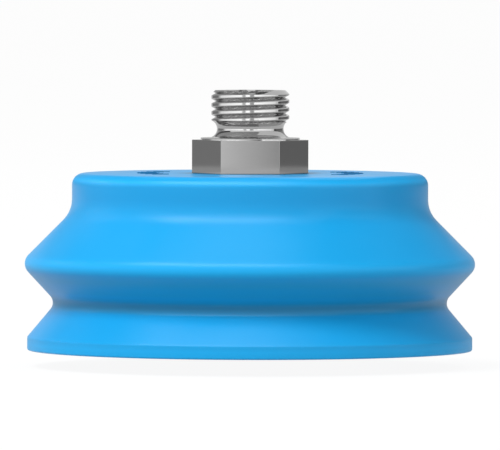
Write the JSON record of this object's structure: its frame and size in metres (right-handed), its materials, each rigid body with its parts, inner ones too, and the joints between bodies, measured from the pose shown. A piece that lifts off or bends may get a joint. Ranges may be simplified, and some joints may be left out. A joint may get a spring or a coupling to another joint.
{
  "type": "bellows suction cup",
  "caption": "Round bellows suction cup with a soft folded body, a flared sealing lip and a male-threaded hexagon nipple that carries the vacuum.",
  "frame": {"origin": "centre of the sealing lip's contact plane, on the cup's axis", "axes": "+Z along the cup's axis from the lip to the thread, with two corners of the hexagon on X"},
  "size_m": [0.0756, 0.0756, 0.0438],
  "materials": {
    "elastomer": "satin",
    "nipple_metal": "turned, bright on the thread and satin on the hexagon",
    "plate_steel": "zinc plated",
    "spring_steel": "oiled",
    "screen_steel": "bright"
  },
  "bodies": {
    "head": {"threaded_nipple": "nipple_metal", "cup_head": "elastomer", "support_plate": "plate_steel", "lock_washer": "spring_steel", "clamp_nut": "plate_steel", "filter_screen": "screen_steel", "filter_clip": "spring_steel"},
    "upper_fold": {"upper_wall": "elastomer", "fold_upper_wall": "elastomer"},
    "crest": {"fold_crest": "elastomer"},
    "waist": {"fold_lower_wall": "elastomer", "fold_waist": "elastomer"},
    "lip": {"lip_wall": "elastomer", "sealing_lip": "elastomer"}
  },
  "joints": [
    {"name": "tilt_front_back", "type": "hinge", "parent": "head", "child": "upper_fold", "pos_m": [0, 0, 0.0236], "axis": [1, 0, 0], "range_deg": [-4, 4], "stiffness_Nm_per_rad": 0.2, "deforming": ["upper_wall"]},
    {"name": "bellows_stroke", "type": "slide", "parent": "upper_fold", "child": "waist", "axis": [0, 0, 1], "range_m": [0, 0.01], "stiffness_N_per_m": 1400, "springref_m": -0.001, "deforming": ["fold_lower_wall"]},
    {"name": "crest_follow", "type": "slide", "parent": "upper_fold", "child": "crest", "axis": [0, 0, 1], "range_m": [0, 0.0047], "deforming": ["fold_upper_wall"]},
    {"name": "tilt_left_right", "type": "hinge", "parent": "waist", "child": "lip", "pos_m": [0, 0, 0.00485], "axis": [0, 1, 0], "range_deg": [-4, 4], "stiffness_Nm_per_rad": 0.12, "deforming": ["lip_wall"]}
  ],
  "couplings": [
    {"joint": "crest_follow", "follows": "bellows_stroke", "ratio": 0.4618}
  ]
}
